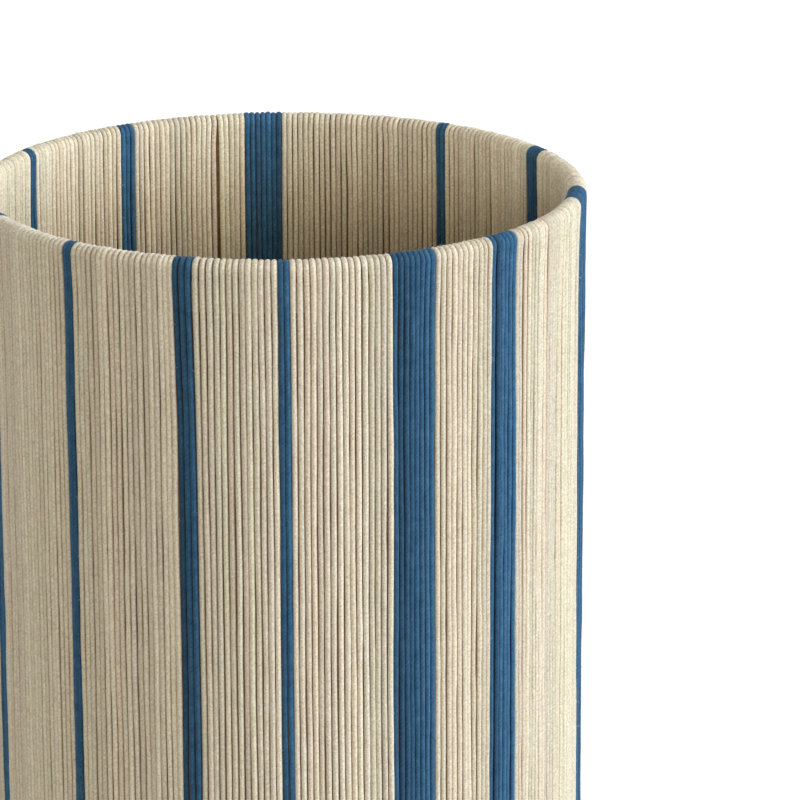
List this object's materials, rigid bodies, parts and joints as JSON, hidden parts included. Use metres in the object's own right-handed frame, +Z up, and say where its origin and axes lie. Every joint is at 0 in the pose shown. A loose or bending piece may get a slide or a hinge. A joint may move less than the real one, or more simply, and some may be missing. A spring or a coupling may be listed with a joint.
{
  "type": "yarn-wound waste bin",
  "caption": "Round open-topped bin: a board drum on wire hoops, wound over its rim with cream cotton yarn in blue stripes.",
  "frame": {"origin": "centre of the circle the four feet stand on, at floor level", "axes": "+Z up along the drum's axis; -Y is the front and +X is to the right of someone facing it"},
  "size_m": [0.252, 0.252, 0.3],
  "materials": {
    "cream_cotton": "soft spun cotton yarn, matt",
    "blue_cotton": "soft spun cotton yarn, matt",
    "core_board": "brown fibre board",
    "hoop_wire": "zinc-plated wire",
    "tape": "double-sided paper tape",
    "base_board": "raw fibreboard",
    "base_felt": "pressed wool felt",
    "foot_rubber": "matt moulded rubber",
    "screw_steel": "zinc-plated"
  },
  "bodies": {
    "root": {"core_tube": "core_board", "top_hoop": "hoop_wire", "bottom_hoop": "hoop_wire", "top_tape": "tape", "bottom_tape": "tape", "cross_wire_long": "hoop_wire", "cross_wire_left": "hoop_wire", "cross_wire_right": "hoop_wire", "base_board": "base_board", "base_felt": "base_felt", "foot_1": "foot_rubber", "foot_2": "foot_rubber", "foot_3": "foot_rubber", "foot_4": "foot_rubber", "foot_screws": "screw_steel", "blue_yarn_1": "blue_cotton", "blue_yarn_2": "blue_cotton", "blue_yarn_3": "blue_cotton", "blue_yarn_4": "blue_cotton", "blue_yarn_5": "blue_cotton", "blue_yarn_6": "blue_cotton", "blue_yarn_7": "blue_cotton", "blue_yarn_8": "blue_cotton", "blue_yarn_9": "blue_cotton", "blue_yarn_10": "blue_cotton", "blue_yarn_11": "blue_cotton", "blue_yarn_12": "blue_cotton", "blue_yarn_13": "blue_cotton", "cream_yarn_1": "cream_cotton", "cream_yarn_2": "cream_cotton", "cream_yarn_3": "cream_cotton", "cream_yarn_4": "cream_cotton", "cream_yarn_5": "cream_cotton", "cream_yarn_6": "cream_cotton", "cream_yarn_7": "cream_cotton", "cream_yarn_8": "cream_cotton", "cream_yarn_9": "cream_cotton", "cream_yarn_10": "cream_cotton", "cream_yarn_11": "cream_cotton", "cream_yarn_12": "cream_cotton", "cream_yarn_13": "cream_cotton"}
  },
  "joints": []
}
